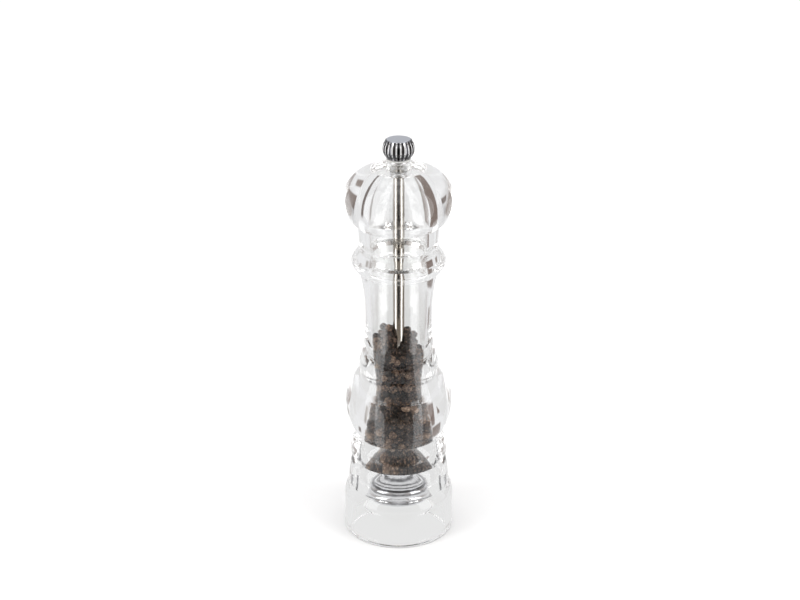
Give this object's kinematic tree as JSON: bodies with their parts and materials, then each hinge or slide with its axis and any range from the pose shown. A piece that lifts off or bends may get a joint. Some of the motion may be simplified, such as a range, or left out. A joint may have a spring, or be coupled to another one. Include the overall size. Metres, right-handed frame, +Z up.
{
  "type": "pepper mill",
  "caption": "Tall turned pepper mill in clear acrylic with a ball head, a fluted adjusting knob, a central shaft and a steel grinding mechanism in the foot.",
  "frame": {"origin": "centre of the foot's bottom face, on the surface the mill stands on", "axes": "+Z up along the shaft from the foot to the knob; the mill is turned round, with -Y to the front"},
  "size_m": [0.0587, 0.0588, 0.22],
  "materials": {
    "clear_acrylic": "polished, water-clear",
    "peppercorn": "dry wrinkled black pepper",
    "polished_steel": "polished stainless steel",
    "chrome": "bright chrome",
    "satin_chrome": "fine satin chrome",
    "brushed_steel": "brushed stainless steel",
    "hardened_steel": "case-hardened steel, dull grey",
    "screw_steel": "zinc-plated steel",
    "brass": "machined brass",
    "nylon": "natural nylon"
  },
  "bodies": {
    "barrel": {"body": "clear_acrylic", "peppercorns": "peppercorn", "base_ring": "polished_steel", "base_ring_screws": "screw_steel", "mechanism_cup": "polished_steel", "stator_ring": "hardened_steel", "bearing_bridge": "brushed_steel", "bridge_screws": "screw_steel", "lower_bush": "brass"},
    "drive": {"thrust_washer": "brushed_steel", "spring": "brushed_steel"},
    "spindle": {"shaft": "polished_steel", "grinding_cone": "hardened_steel", "retaining_clip": "brushed_steel"},
    "head": {"head": "clear_acrylic", "head_bush": "polished_steel", "knob_washer": "nylon"},
    "knob": {"knob": "chrome", "knob_nut": "brass", "knob_cap": "satin_chrome"}
  },
  "joints": [
    {"name": "head_turn", "type": "hinge", "parent": "barrel", "child": "drive", "pos_m": [0, 0, 0.034], "axis": [0, 0, 1], "continuous": true},
    {"name": "shaft_travel", "type": "slide", "parent": "drive", "child": "spindle", "axis": [0, 0, 1], "range_m": [-0.0014, 0.0007], "deforming": ["spring"]},
    {"name": "head_lift", "type": "slide", "parent": "drive", "child": "head", "axis": [0, 0, 1], "range_m": [0, 0.066]},
    {"name": "knob_turn", "type": "hinge", "parent": "head", "child": "knob", "pos_m": [0, 0, 0.213], "axis": [0, 0, 1], "range_deg": [-360, 720]}
  ],
  "couplings": [
    {"joint": "knob_turn", "follows": "shaft_travel", "rad_per_m": -8976}
  ]
}
